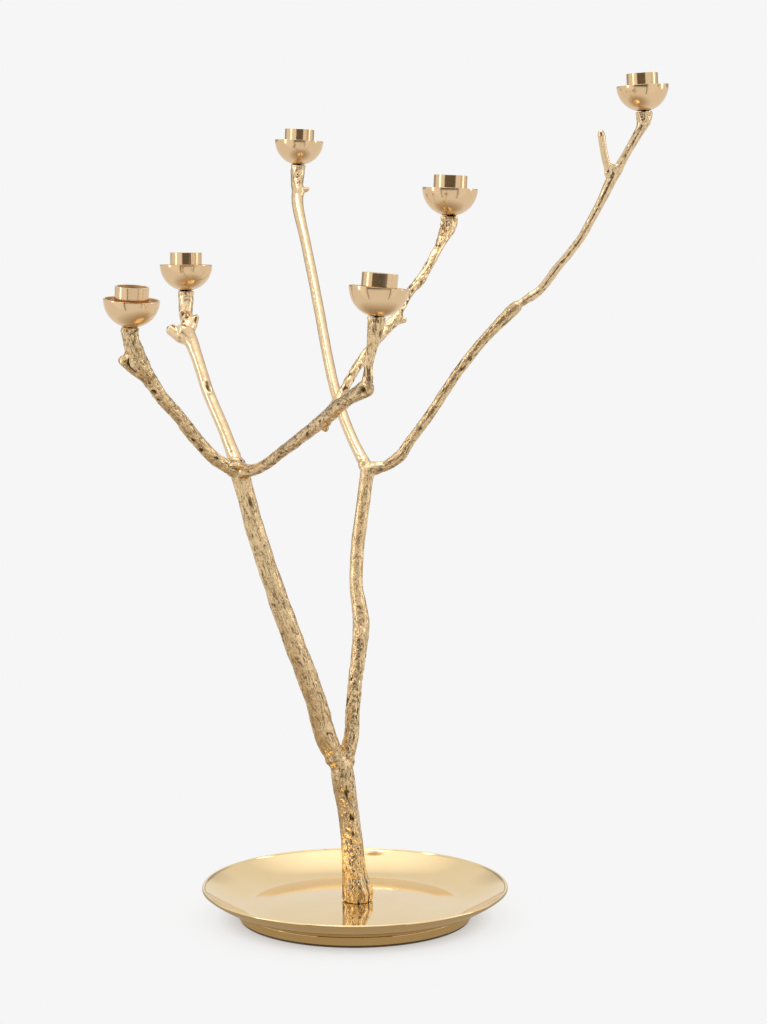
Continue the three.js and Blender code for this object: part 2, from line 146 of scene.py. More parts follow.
# Scars, knots and cut ends: casting, share of its length, direction from its centre line,
# distance out, half length along the twig, half width, and depth (a knob if negative).
# Distances are in millimetres.
MARKS = [
    ("left_branch", 0.43, (0.35, -1, 0), 4.6, 4.4, 1.6, 1.6),
    ("left_branch", 0.86, (-0.5, -1, 0), 6.0, 2.4, 2.2, 1.3),
    ("left_branch", 0.81, (-0.7, -1, 0), 5.6, 2.6, 1.6, 1.4),
    ("left_branch", 0.83, (0.1, -1, 0), 5.6, 2.0, 1.4, 1.2),
    ("left_stem", 0.885, (0.45, -1, 0), 8.2, 4.8, 1.5, 2.0),
    ("left_stem", 0.55, (0.9, -0.5, 0), 8.3, 3.5, 2.2, -1.4),
    ("left_stem", 0.30, (1.0, -0.2, 0), 8.6, 3.5, 2.4, -1.0),
    ("left_stem", 0.16, (1.0, -0.3, 0), 8.8, 3.0, 2.4, -1.2),
    ("far_left_branch", 0.72, (0.6, -1, 0.2), 5.4, 2.8, 2.8, -2.6),
    ("far_left_branch", 0.63, (-0.3, -1, -0.2), 5.2, 2.6, 1.8, 1.8),
    ("far_left_branch", 0.70, (-0.8, -1, 0.2), 6.5, 6.5, 1.4, 1.8),
    ("right_stem", 0.43, (0.2, -1, 0), 6.8, 4.2, 3.0, -1.5),
    ("front_branch", 0.985, (0.2, -1, 0.2), 6.0, 3.4, 3.0, 3.0),
    ("trunk", 0.76, (0.1, -1, 0), 9.0, 4.2, 1.3, 1.4),
    ("trunk", 0.60, (0.25, -1, 0), 8.6, 3.4, 1.2, 1.3),
    ("trunk", 0.48, (0.25, -1, 0), 8.4, 2.6, 1.2, 1.2),
    ("right_branch", 0.99, (0.1, -1, 0.3), 5.6, 3.2, 3.0, -1.4),
]


# ------------------------------------------------------------------ node helpers


def new_material(name):
    material = bpy.data.materials.new(name)
    material.use_nodes = True
    tree = material.node_tree
    tree.nodes.clear()
    output = tree.nodes.new("ShaderNodeOutputMaterial")
    shader = tree.nodes.new("ShaderNodeBsdfPrincipled")
    tree.links.new(shader.outputs["BSDF"], output.inputs["Surface"])
    return material, tree, shader


def feed(tree, sockets, values):
    """Links each socket to another node's output, or sets it to a plain value."""
    for socket, value in zip(sockets, values):
        if isinstance(value, bpy.types.NodeSocket):
            tree.links.new(value, socket)
        else:
            socket.default_value = value


def node(tree, kind, settings=None, **inputs):
    made = tree.nodes.new(kind)
    for key, value in (settings or {}).items():
        setattr(made, key, value)
    feed(tree, [made.inputs[key.replace("_", " ")] for key in inputs], inputs.values())
    return made


def math_node(tree, operation, first, second=0.0):
    made = tree.nodes.new("ShaderNodeMath")
    made.operation = operation
    feed(tree, made.inputs, (first, second))
    return made.outputs[0]


def remap(tree, value, low, high, to_low, to_high):
    made = tree.nodes.new("ShaderNodeMapRange")
    feed(tree, made.inputs, (value, low, high, to_low, to_high))
    return made.outputs[0]


def mix_colour(tree, factor, first, second):
    made = tree.nodes.new("ShaderNodeMix")
    made.data_type = "RGBA"
    feed(tree, (made.inputs[0], made.inputs[6], made.inputs[7]), (factor, first, second))
    return made.outputs[2]


def mix_shader(tree, factor, first, second):
    made = tree.nodes.new("ShaderNodeMixShader")
    feed(tree, made.inputs, (factor, first, second))
    return made.outputs[0]


def surface(tree, shader, base, rough, height, strength, distance):
    """Gives the shader its colour, its roughness and a bump."""
    bump = node(tree, "ShaderNodeBump", None, Height=height, Strength=strength, Distance=distance)
    sockets = [shader.inputs[name] for name in ("Base Color", "Roughness", "Normal")]
    feed(tree, sockets, (base, rough, bump.outputs[0]))


def colour(red, green, blue):
    return (red, green, blue, 1.0)


# ------------------------------------------------------------------ materials


def polished_brass(name, low, high, gloss, haze):
    """Turned and buffed brass: faint tool rings and finger haze."""
    material, tree, shader = new_material(name)
    place = node(tree, "ShaderNodeTexCoord").outputs["Object"]
    cloud = node(tree, "ShaderNodeTexNoise", None, Vector=place, Scale=22.0, Detail=4.0, Roughness=0.6)
    tint = remap(tree, cloud.outputs["Fac"], 0.3, 0.7, 0.0, 1.0)
    base = mix_colour(tree, tint, low, high)
    stretched = node(tree, "ShaderNodeMapping", None, Vector=place, Scale=(40.0, 40.0, 9000.0))
    rings = node(tree, "ShaderNodeTexNoise", None, Vector=stretched.outputs[0], Scale=1.0, Detail=2.0)
    fine = remap(tree, rings.outputs["Fac"], 0.35, 0.65, 0.0, 1.0)
    rough_haze = remap(tree, cloud.outputs["Fac"], 0.3, 0.75, gloss, haze)
    rough = math_node(tree, "MULTIPLY_ADD", fine, 0.02)
    tree.links.new(rough_haze, rough.node.inputs[2])
    surface(tree, shader, base, rough, fine, 0.02, 0.02 * MM)
    shader.inputs["Metallic"].default_value = 1.0
    return material


def cast_brass(name, high, low, groove_shade, gloss, haze, fine_strength):
    """Cast brass twig: buffed on the high spots, dull in the grooves, and darkened there by painted shade.
    """
    material, tree, shader = new_material(name)
    place = node(tree, "ShaderNodeTexCoord").outputs["Object"]
    # The point attribute read here, and the fibre and hair lines below, darken the base colour towards the
    # groove colour as painted shade in the bark's hollows.
    depth = node(tree, "ShaderNodeAttribute", {"attribute_name": "groove_shade"}).outputs["Fac"]
    flow = node(tree, "ShaderNodeAttribute", {"attribute_name": "flow"}).outputs["Vector"]
    mottle = node(tree, "ShaderNodeTexNoise", None, Vector=place, Scale=330.0, Detail=2.5, Roughness=0.6)
    fibre = node(tree, "ShaderNodeTexNoise", None, Vector=flow, Scale=1.0, Detail=3.0, Roughness=0.6)
    metal = mix_colour(tree, remap(tree, mottle.outputs["Fac"], 0.35, 0.65, 0.0, 1.0), low, high)
    fibre_shade = remap(tree, fibre.outputs["Fac"], 0.30, 0.38, 0.45, 0.0)
    hair = node(tree, "ShaderNodeTexNoise", None, Vector=flow, Scale=0.55, Detail=2.0, Roughness=0.5)
    beside = math_node(tree, "ABSOLUTE", math_node(tree, "SUBTRACT", hair.outputs["Fac"], 0.5))
    hairline = remap(tree, beside, 0.004, 0.022, 0.75, 0.0)
    fine = math_node(tree, "MULTIPLY", math_node(tree, "MAXIMUM", fibre_shade, hairline), fine_strength)
    grooved = math_node(tree, "MAXIMUM", depth, fine)
    base = mix_colour(tree, grooved, metal, groove_shade)
    dull = remap(tree, grooved, 0.0, 0.8, 0.0, 0.3)
    buffed = remap(tree, mottle.outputs["Fac"], 0.3, 0.75, gloss, haze)
    rough = math_node(tree, "ADD", dull, buffed)
    height = math_node(tree, "MULTIPLY_ADD", mottle.outputs["Fac"], 0.5)
    tree.links.new(fibre.outputs["Fac"], height.node.inputs[2])
    surface(tree, shader, base, rough, height, 0.32 * fine_strength, 1.1 * MM)
    shader.inputs["Metallic"].default_value = 1.0
    return material


def brushed_steel():
    material, tree, shader = new_material("zinc_plated_steel")
    place = node(tree, "ShaderNodeTexCoord").outputs["Object"]
    grain = node(tree, "ShaderNodeTexNoise", None, Vector=place, Scale=900.0, Detail=3.0)
    tone = remap(tree, grain.outputs["Fac"], 0.3, 0.7, 0.0, 1.0)
    base = mix_colour(tree, tone, colour(0.50, 0.50, 0.52), colour(0.66, 0.66, 0.66))
    surface(tree, shader, base, remap(tree, tone, 0.0, 1.0, 0.22, 0.38), tone, 0.15, 0.05 * MM)
    shader.inputs["Metallic"].default_value = 1.0
    return material


def brown_felt():
    material, tree, shader = new_material("brown_felt")
    place = node(tree, "ShaderNodeTexCoord").outputs["Object"]
    fuzz = node(tree, "ShaderNodeTexNoise", None, Vector=place, Scale=1500.0, Detail=6.0, Roughness=0.8)
    tone = remap(tree, fuzz.outputs["Fac"], 0.3, 0.7, 0.0, 1.0)
    base = mix_colour(tree, tone, colour(0.075, 0.052, 0.034), colour(0.16, 0.115, 0.075))
    surface(tree, shader, base, remap(tree, tone, 0.0, 1.0, 0.85, 1.0), tone, 0.8, 0.4 * MM)
    shader.inputs["Sheen Weight"].default_value = 0.4
    shader.inputs["Sheen Roughness"].default_value = 0.6
    return material


POLISHED = polished_brass(
    "polished_brass", colour(0.785, 0.55, 0.315), colour(0.83, 0.595, 0.35), 0.12, 0.17
)
DISH_BRASS = polished_brass(
    "dish_brass", colour(0.85, 0.64, 0.345), colour(0.885, 0.685, 0.39), 0.05, 0.09
)
SATIN = polished_brass(
    "bored_brass", colour(0.80, 0.585, 0.33), colour(0.86, 0.645, 0.38), 0.40, 0.50
)
BARK = cast_brass(
    "bark_brass",
    colour(0.93, 0.685, 0.395),
    colour(0.83, 0.595, 0.32),
    # near black: the painted shade in the bark's grooves
    colour(0.065, 0.040, 0.013),
    0.08,
    0.17,
    1.0,
)
SMOOTH = cast_brass(
    "smooth_brass",
    colour(0.90, 0.68, 0.42),
    colour(0.78, 0.565, 0.33),
    # dark brown: the painted shade in the smooth twigs' grooves
    colour(0.12, 0.075, 0.03),
    0.08,
    0.15,
    0.22,
)
STEEL = brushed_steel()
FELT = brown_felt()


# ------------------------------------------------------------------ mesh helpers


def mesh_object(name, vertices, faces, material, body):
    mesh = bpy.data.meshes.new(name)
    mesh.from_pydata([tuple(v) for v in vertices], [], [tuple(f) for f in faces])
    mesh.materials.append(material)
    mesh.shade_smooth()
    made = bpy.data.objects.new(name, mesh)
    bpy.context.scene.collection.objects.link(made)
    made["ride_on"] = body
    return made


def placed(made, matrix):
    made.matrix_world = matrix
    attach(made, made["ride_on"])
    return made


def rounded(corners, radius):
    """The profile with each corner turned into a small arc, and a point close by on either side."""
    points = []
    count = len(corners)
    for i, corner in enumerate(corners):
        here = Vector(corner[:2])
        bevel = corner[2] if len(corner) > 2 else radius
        if bevel == 0:
            points.append(here)
            continue
        before = Vector(corners[i - 1][:2]) - here
        after = Vector(corners[(i + 1) % count][:2]) - here
        turn = before.angle(after)
        setback = min(bevel / math.tan(turn / 2), 0.45 * before.length, 0.45 * after.length)
        start = here + before.normalized() * setback
        end = here + after.normalized() * setback
        points.append(here + before.normalized() * min(setback * 1.3, 0.48 * before.length))
        for k in range(CORNER_STEPS + 1):
            t = k / CORNER_STEPS
            points.append(start * (1 - t) ** 2 + here * (2 * t * (1 - t)) + end * t**2)
        points.append(here + after.normalized() * min(setback * 1.3, 0.48 * after.length))
    return points


def turned(name, profile, sides, material, body):
    """A body of revolution about Z from a closed (radius, height) profile."""
    count = len(profile)
    angles = np.arange(sides) * (2 * math.pi / sides)
    rings = np.array([(p[0], p[1]) for p in profile])
    x = rings[:, 0][None, :] * np.cos(angles)[:, None]
    y = rings[:, 0][None, :] * np.sin(angles)[:, None]
    z = np.repeat(rings[:, 1][None, :], sides, axis=0)
    vertices = np.stack([x, y, z], axis=2).reshape(-1, 3)
    faces = []
    for i in range(sides):
        j = (i + 1) % sides
        for k in range(count):
            m = (k + 1) % count
            faces.append((i * count + k, i * count + m, j * count + m, j * count + k))
    made = mesh_object(name, vertices, faces, material, body)
    clean = bmesh.new()
    clean.from_mesh(made.data)
    bmesh.ops.remove_doubles(clean, verts=clean.verts, dist=1e-7)
    bmesh.ops.recalc_face_normals(clean, faces=clean.faces)
    clean.to_mesh(made.data)
    clean.free()
    made.data.shade_smooth()
    return made


# ------------------------------------------------------------------ noise on arrays


class Noise:
    """Gradient noise on arrays of points, from a seeded table."""

    def __init__(self, seed):
        random = np.random.default_rng(seed)
        self.order = np.tile(random.permutation(256), 3)
        vectors = random.normal(size=(256, 3))
        self.gradients = vectors / np.linalg.norm(vectors, axis=1)[:, None]

    def __call__(self, points):
        cell = np.floor(points).astype(int)
        inside = points - cell
        cell &= 255
        fade = inside**3 * (inside * (inside * 6 - 15) + 10)
        total = np.zeros(len(points))
        for dx in (0, 1):
            for dy in (0, 1):
                for dz in (0, 1):
                    slot = self.order[cell[:, 0] + dx]
                    slot = self.order[slot + cell[:, 1] + dy]
                    slot = self.order[slot + cell[:, 2] + dz]
                    offset = inside - np.array([dx, dy, dz])
                    value = (self.gradients[slot] * offset).sum(axis=1)
                    wx = fade[:, 0] if dx else 1 - fade[:, 0]
                    wy = fade[:, 1] if dy else 1 - fade[:, 1]
                    wz = fade[:, 2] if dz else 1 - fade[:, 2]
                    total += value * wx * wy * wz
        return total * 1.6


def smoothstep(low, high, value):
    t = np.clip((value - low) / (high - low), 0, 1)
    return t * t * (3 - 2 * t)


# ------------------------------------------------------------------ cup places


def cup_frames():
    """Place and axis of every cup, from its bowl's solid and its joint."""
    axes = {joint["child"]: Vector(joint["axis"]).normalized() for joint in frame["joints"]}
    places = {}
    for body, axis in axes.items():
        points = np.array([v.co for v in frame["nodes"][f"drip_bowl_{body[-1]}"].data.vertices])
        points = np.unique(np.round(points, 6), axis=0)
        centre = Vector(points.mean(axis=0))
        lowest = min((Vector(p) - centre).dot(axis) for p in points)
        seat = centre + axis * lowest
        turn = Vector((0, 0, 1)).rotation_difference(axis)
        places[body] = Matrix.Translation(seat) @ turn.to_matrix().to_4x4()
    return places


CUPS = cup_frames()


# ------------------------------------------------------------------ the tree's skin


def triangles_of(name):
    mesh = frame["nodes"][name].data
    mesh.calc_loop_triangles()
    points = np.zeros(len(mesh.vertices) * 3)
    mesh.vertices.foreach_get("co", points)
    corners = np.zeros(len(mesh.loop_triangles) * 3, int)
    mesh.loop_triangles.foreach_get("vertices", corners)
    return points.reshape(-1, 3)[corners.reshape(-1, 3)]


def section(triangles, point, normal, reach):
    """Area and centroid of the solid's cut by a plane near point."""
    near = np.linalg.norm(triangles.mean(axis=1) - point, axis=1) < reach
    picked = triangles[near]
    height = (picked - point) @ normal
    above = height > 0
    crossing = above.any(axis=1) & ~above.all(axis=1)
    picked, height, above = picked[crossing], height[crossing], above[crossing]
    starts, ends = [], []
    for a in range(3):
        b = (a + 1) % 3
        cut = above[:, a] != above[:, b]
        share = np.zeros(len(picked))
        gap = height[:, a] - height[:, b]
        share[cut] = height[cut, a] / gap[cut]
        where = picked[:, a] + (picked[:, b] - picked[:, a]) * share[:, None]
        starts.append(np.where((cut & above[:, a])[:, None], where, np.nan))
        ends.append(np.where((cut & ~above[:, a])[:, None], where, np.nan))
    start = np.nanmax(np.stack(starts), axis=0) - point
    end = np.nanmax(np.stack(ends), axis=0) - point
    cross = np.cross(start, end) @ normal
    area = cross.sum() / 2
    if abs(area) < 1e-8:
        return 0.0, point
    centroid = ((start + end) * cross[:, None]).sum(axis=0) / (6 * area)
    return abs(area), point + centroid


def centre_line(name):
    """Points and radii along a casting, found by slicing its CAD solid."""
    triangles = triangles_of(name)
    points = triangles.reshape(-1, 3)
    spread = points - points.mean(axis=0)
    chord = np.linalg.svd(spread[:: max(1, len(spread) // 2000)], full_matrices=False)[2][0]
    if chord[2] < 0:
        chord = -chord
    reach = spread @ chord
    low, high = reach.min(), reach.max()
    count = max(5, int((high - low) / SLICE_STEP))
    middle = points.mean(axis=0)
    line, radii = [], []
    for k in range(count):
        level = low + (high - low) * (k + 0.5) / count
        area, centre = section(triangles, middle + chord * level, chord, 1.0)
        if area > 0:
            line.append(centre)
            radii.append(math.sqrt(area / math.pi))
    line, radii = np.array(line), np.array(radii)
    for _ in range(2):
        tangents = np.gradient(line, axis=0)
        tangents /= np.linalg.norm(tangents, axis=1)[:, None]
        for k in range(1, len(line) - 1):
            area, centre = section(triangles, line[k], tangents[k], 4.5 * radii[k] + 6 * MM)
            if area > 0 and np.linalg.norm(centre - line[k]) < 2 * radii[k]:
                radii[k] = math.sqrt(area / math.pi)
                line[k] = centre
        radii[1:-1] = (radii[:-2] + 2 * radii[1:-1] + radii[2:]) / 4
        line[1:-1] = (line[:-2] + 2 * line[1:-1] + line[2:]) / 4
    return line, radii / SECTION_FILL


def with_ends(name, line, radii, parents):
    """Runs a casting's foot into its parent's core, or square to the dish, and its tip to its cup."""
    if name == "trunk":
        points = triangles_of(name).reshape(-1, 3)
        bottom = points[:, 2].min()
        foot = points[points[:, 2] < bottom + 0.01 * MM]
        centre = (foot.min(axis=0) + foot.max(axis=0)) / 2
        width = (foot[:, 0].max() - foot[:, 0].min()) / 2
        line, radii = line[2:], radii[2:]
    else:
        skip = min(len(line) // 3, 2 + int(1.2 * radii[len(line) // 2] / SLICE_STEP))
        line, radii = line[skip:], radii[skip:]
        gaps = [np.linalg.norm(parent.line - line[0], axis=1) for parent in parents]
        parent = parents[int(np.argmin([gap.min() for gap in gaps]))]
        nearest = int(np.linalg.norm(parent.line - line[0], axis=1).argmin())
        centre = parent.line[nearest]
        width = min(radii[0], 0.70 * parent.radii[nearest])
    line = np.concatenate([[centre], line])
    radii = np.concatenate([[width], radii])
    seat = nearest_seat(line[-1])
    if seat is not None:
        line = np.concatenate([line[:-1], [seat]])
        radii = np.concatenate([radii[:-1], [max(radii[-1], TIP_RADIUS)]])
    else:
        radii[-1] *= 0.7
    return line, radii


def nearest_seat(point):
    """The middle of the cup seat close to this end, or None."""
    for matrix in CUPS.values():
        axis = np.array(matrix.to_3x3())[:, 2]
        seat = np.array(matrix.translation) - axis * GAP
        if np.linalg.norm(seat - point) < 6 * MM:
            return seat
    return None


class Twig:
    """A casting's centre line with a frame that does not twist along it."""

    def __init__(self, name, parents):
        self.name = name
        self.line, self.radii = with_ends(name, *centre_line(name), parents)
        steps = np.linalg.norm(np.diff(self.line, axis=0), axis=1)
        self.length = np.concatenate([[0], np.cumsum(steps)])
        tangents = np.gradient(self.line, axis=0)
        self.tangents = tangents / np.linalg.norm(tangents, axis=1)[:, None]
        side = np.array([0.36, -0.85, 0.1])
        sides = []
        for tangent in self.tangents:
            side = side - tangent * (side @ tangent)
            side = side / np.linalg.norm(side)
            sides.append(side)
        self.sides = np.array(sides)
        self.across = np.cross(self.tangents, self.sides)

    def place(self, share, toward, out):
        """A point beside the centre line, and the outward direction there."""
        along = share * self.length[-1]
        middle = np.array([np.interp(along, self.length, self.line[:, k]) for k in range(3)])
        tangent = self.tangents[int(np.searchsorted(self.length, along).clip(0, len(self.line) - 1))]
        outward = np.array(toward, float)
        outward -= tangent * (outward @ tangent)
        outward /= np.linalg.norm(outward)
        return middle + outward * out * MM, outward, tangent

    def loft(self):
        angles = np.arange(LOFT_SIDES) * (2 * math.pi / LOFT_SIDES)
        ring = np.cos(angles)[None, :, None] * self.sides[:, None, :]
        ring = ring + np.sin(angles)[None, :, None] * self.across[:, None, :]
        points = self.line[:, None, :] + ring * self.radii[:, None, None]
        count = len(self.line)
        vertices = np.concatenate([points.reshape(-1, 3), self.line[:1], self.line[-1:]])
        faces = []
        for i in range(count - 1):
            for k in range(LOFT_SIDES):
                m = (k + 1) % LOFT_SIDES
                low, high = i * LOFT_SIDES, (i + 1) * LOFT_SIDES
                faces.append((low + k, low + m, high + m, high + k))
        for k in range(LOFT_SIDES):
            m = (k + 1) % LOFT_SIDES
            last = (count - 1) * LOFT_SIDES
            faces.append((count * LOFT_SIDES, m, k))
            faces.append((count * LOFT_SIDES + 1, last + k, last + m))
        return vertices, faces

    def coordinates(self, points):
        """Distance along, angle round, distance out, local radius and outward direction."""
        best = np.full(len(points), 1e9)
        nearest = np.zeros(len(points), int)
        for k, centre in enumerate(self.line):
            gap = ((points - centre) ** 2).sum(axis=1)
            closer = gap < best
            best[closer] = gap[closer]
            nearest[closer] = k
        offset = points - self.line[nearest]
        forward = (offset * self.tangents[nearest]).sum(axis=1)
        along = self.length[nearest] + np.clip(forward, -SLICE_STEP, SLICE_STEP)
        x = (offset * self.sides[nearest]).sum(axis=1)
        y = (offset * self.across[nearest]).sum(axis=1)
        radius = np.interp(along, self.length, self.radii)
        out = np.sqrt(x * x + y * y)
        overrun = np.maximum(0, np.abs(forward) - SLICE_STEP)
        outward = x[:, None] * self.sides[nearest] + y[:, None] * self.across[nearest]
        outward /= np.maximum(out, 1e-9)[:, None]
        return along, np.arctan2(y, x), np.hypot(out, overrun), radius, outward


def tree_skin(twigs):
    """One closed skin round all castings, from their CAD solids and their round lofts."""
    vertices, faces, count = [], [], 0
    for twig in twigs:
        loft_vertices, loft_faces = twig.loft()
        vertices.extend(loft_vertices)
        faces.extend(tuple(count + i for i in face) for face in loft_faces)
        count += len(loft_vertices)
        solid = bmesh.new()
        solid.from_mesh(frame["nodes"][twig.name].data)
        bmesh.ops.remove_doubles(solid, verts=solid.verts, dist=1e-6)
        bmesh.ops.recalc_face_normals(solid, faces=solid.faces)
        solid.normal_update()
        solid.verts.index_update()
        for vertex in solid.verts:
            vertices.append(np.array(vertex.co - vertex.normal * SOLID_INSET))
        faces.extend(tuple(count + v.index for v in face.verts) for face in solid.faces)
        count += len(solid.verts)
        solid.free()
    mesh = bpy.data.meshes.new("tree_skin")
    mesh.from_pydata([tuple(v) for v in vertices], [], faces)
    skin = bpy.data.objects.new("tree_skin", mesh)
    bpy.context.scene.collection.objects.link(skin)
    remesh = skin.modifiers.new("voxels", "REMESH")
    remesh.mode = "VOXEL"
    remesh.voxel_size = VOXEL
    remesh.adaptivity = 0
    bpy.context.view_layer.update()
    evaluated = skin.evaluated_get(bpy.context.evaluated_depsgraph_get())
    made = evaluated.to_mesh()
    points = np.zeros(len(made.vertices) * 3)
    made.vertices.foreach_get("co", points)
    corners = np.zeros(len(made.loops), int)
    made.loops.foreach_get("vertex_index", corners)
    sizes = np.zeros(len(made.polygons), int)
    made.polygons.foreach_get("loop_total", sizes)
    assert (sizes == 4).all()
    evaluated.to_mesh_clear()
    bpy.data.objects.remove(skin)
    return points.reshape(-1, 3), corners.reshape(-1, 4)


def edges_of(quads):
    pairs = np.concatenate([quads[:, [0, 1]], quads[:, [1, 2]], quads[:, [2, 3]], quads[:, [3, 0]]])
    return np.unique(np.sort(pairs, axis=1), axis=0)


def averaged(values, edges, degree):
    total = np.zeros_like(values)
    for k in range(values.shape[1]):
        total[:, k] = np.bincount(edges[:, 0], values[edges[:, 1], k], len(values))
        total[:, k] += np.bincount(edges[:, 1], values[edges[:, 0], k], len(values))
    return total / degree[:, None]


def smoothed(points, edges, rounds):
    """Evens out the voxel steps without thinning the twigs."""
    degree = np.bincount(edges.ravel(), minlength=len(points)).astype(float)
    for _ in range(rounds):
        for weight in (0.6, -0.62):
            points = points + weight * (averaged(points, edges, degree) - points)
    return points


def normals_of(points, quads):
    first = points[quads[:, 2]] - points[quads[:, 0]]
    second = points[quads[:, 3]] - points[quads[:, 1]]
    face = np.cross(first, second)
    total = np.zeros_like(points)
    for k in range(3):
        for c in range(4):
            total[:, k] += np.bincount(quads[:, c], face[:, k], len(points))
    return total / np.maximum(np.linalg.norm(total, axis=1), 1e-12)[:, None]


def bark(twig, along, angle, radius, joint):
    """Height of the bark, how much painted shade darkens its grooves, pits and crevices, and the points in
    the straightened twig.
    """
    seed = TREE.index(twig.name)
    noise = Noise(100 + seed)
    warp = Noise(200 + seed)
    lump_depth, groove_depth, crinkle_depth = BARK_RELIEF[twig.name]
    x = np.cos(angle) * radius / MM
    y = np.sin(angle) * radius / MM
    z = along / MM
    flat = np.stack([x, y, z], axis=1)
    sway = warp(flat / np.array([9.0, 9.0, 22.0])) * 1.3
    bent = flat + np.stack([sway, np.roll(sway, 7), np.zeros(len(x))], axis=1)

    def grain(width, stretch, offset):
        return noise(bent / np.array([width, width, width * stretch]) + offset)

    share = along / twig.length[-1]
    crinkled = np.full(len(x), crinkle_depth)
    if twig.name == "right_stem":
        crinkled *= 1 - 0.85 * smoothstep(0.42, 0.60, share)
    if twig.name == "trunk":
        seam = np.cos(angle - front_angle(twig, along) - 0.25)
        crinkled *= 0.25 + 1.1 * smoothstep(0.45, 0.95, seam)
    if nearest_seat(twig.line[-1]) is not None:
        tip = smoothstep(twig.length[-1] - 32 * MM, twig.length[-1] - 20 * MM, along)
        groove_depth = np.maximum(groove_depth, 0.55 * tip)
    crinkled = np.maximum(crinkled, 0.26 * joint)
    lumps = warp(flat / np.array([10.0, 10.0, 15.0]) + 3.0)
    plates = grain(4.2, 4.5, 5.0)
    ridges = grain(2.8, 6.0, 11.0)
    hairs = grain(1.7, 8.0, 17.0)
    broken = smoothstep(-0.12, 0.18, warp(flat / np.array([4.5, 4.5, 10.0]) + 9.0))
    patchy = smoothstep(-0.25, 0.10, noise(flat / np.array([3.6, 3.6, 7.0]) + 83.0))
    furrow = (1 - smoothstep(0.02, 0.12, np.abs(ridges))) * broken
    hairline = (1 - smoothstep(0.0, 0.10, np.abs(hairs))) * patchy
    crinkle = noise(bent / np.array([2.4, 2.4, 4.2]) + 29.0)
    grit = noise(flat / np.array([1.5, 1.5, 2.0]) + 61.0)
    pits = smoothstep(0.34, 0.55, noise(bent / np.array([2.4, 2.4, 5.2]) + 43.0)) * patchy
    height = lump_depth * lumps + 0.6 * groove_depth * plates
    height -= groove_depth * (1.0 * furrow + 0.45 * hairline)
    height += crinkled * (2.6 * crinkle + 0.9 * grit - 1.6 * pits)
    grooved = smoothstep(0.05, 0.35, groove_depth)
    # Painted shade: dark darkens the furrows, hairlines, pits and crinkle troughs, where shade falls; on the
    # trunk it follows the crinkle, strongest on the side towards the front.
    dark = (0.70 * furrow + 0.75 * hairline) * grooved
    dark += (0.95 * pits + 0.30 * smoothstep(0.22, 0.5, -crinkle)) * smoothstep(0.05, 0.22, crinkled)
    if twig.name == "trunk":
        foot = 1 - smoothstep(4 * MM, 34 * MM, along)
        roots = noise(np.stack([x / 3.4, y / 3.4, z / 40.0], axis=1) + 71.0)
        height += foot * 1.9 * roots
        # painted shade in the crevices between the roots
        dark += foot * 0.75 * smoothstep(0.12, 0.40, -roots)
    size = np.clip(radius / (7 * MM), 0.55, 1.0)
    return height * MM * size, np.clip(dark, 0, 1), flat


def front_angle(twig, along):
    """The angle round the twig, in its own frame, that faces the front of the candelabra."""
    front = np.array([0.0, -1.0, 0.0])
    angles = np.unwrap(np.arctan2(twig.across @ front, twig.sides @ front))
    return np.interp(along, twig.length, angles)


def marked(twig, points, share, toward, out, half_length, half_width, depth):
    """How far a scar, knot or knob moves each point outward, in metres, and how much painted shade darkens
    its hollow, or the crease round a knob.
    """
    centre, outward, tangent = twig.place(share, toward, out)
    offset = (points - centre) / MM
    lengthways = offset @ tangent / half_length
    crossways = offset @ np.cross(outward, tangent) / half_width
    inward = np.clip(offset @ outward / (1.2 * half_width), -3, 3)
    distance = lengthways**2 + crossways**2 + inward**2
    if depth < 0:
        ring = np.exp(-((np.sqrt(distance) - 1.5) ** 2) / 0.14)
        return -depth * MM * np.exp(-distance), 0.22 * ring
    rim = np.exp(-((np.sqrt(distance) - 1.35) ** 2) / 0.08)
    return (0.3 * rim - np.exp(-(distance**1.5))) * depth * MM, np.exp(-(distance**2))


